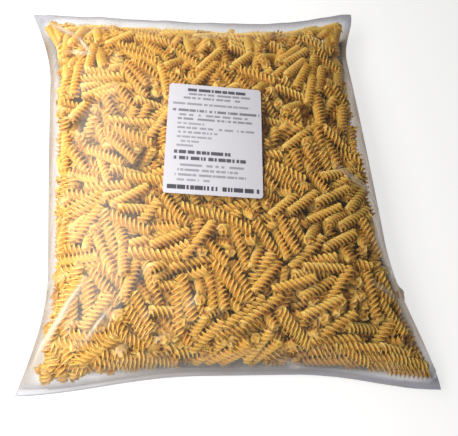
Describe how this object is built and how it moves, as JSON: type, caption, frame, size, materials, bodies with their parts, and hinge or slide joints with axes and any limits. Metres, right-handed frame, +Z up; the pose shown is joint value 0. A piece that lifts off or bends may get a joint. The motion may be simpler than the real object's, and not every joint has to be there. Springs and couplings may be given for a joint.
{
  "type": "pasta packet",
  "caption": "Clear sealed film bag full of corkscrew pasta, lying flat, with welded ends, flared corners and a white paper label on top.",
  "frame": {"origin": "on the ground under the middle of the bag's box, the bag lying on its flat underside", "axes": "+X across the bag, +Y along its length from the near welded end to the far one, +Z up through the label"},
  "size_m": [0.3386, 0.39, 0.0693],
  "materials": {
    "bag": "clear thin film drawn tight over golden yellow dry pasta twists, glossy, slightly milky at the welded ends and side folds",
    "pasta": "golden yellow dry pasta, matt, a little translucent, paler on the ridges and amber in the grooves",
    "label": "white paper label with a faint lavender tint, plain dark bars in place of print"
  },
  "bodies": {
    "root": {"bag": "bag", "label": "label"}
  },
  "joints": []
}
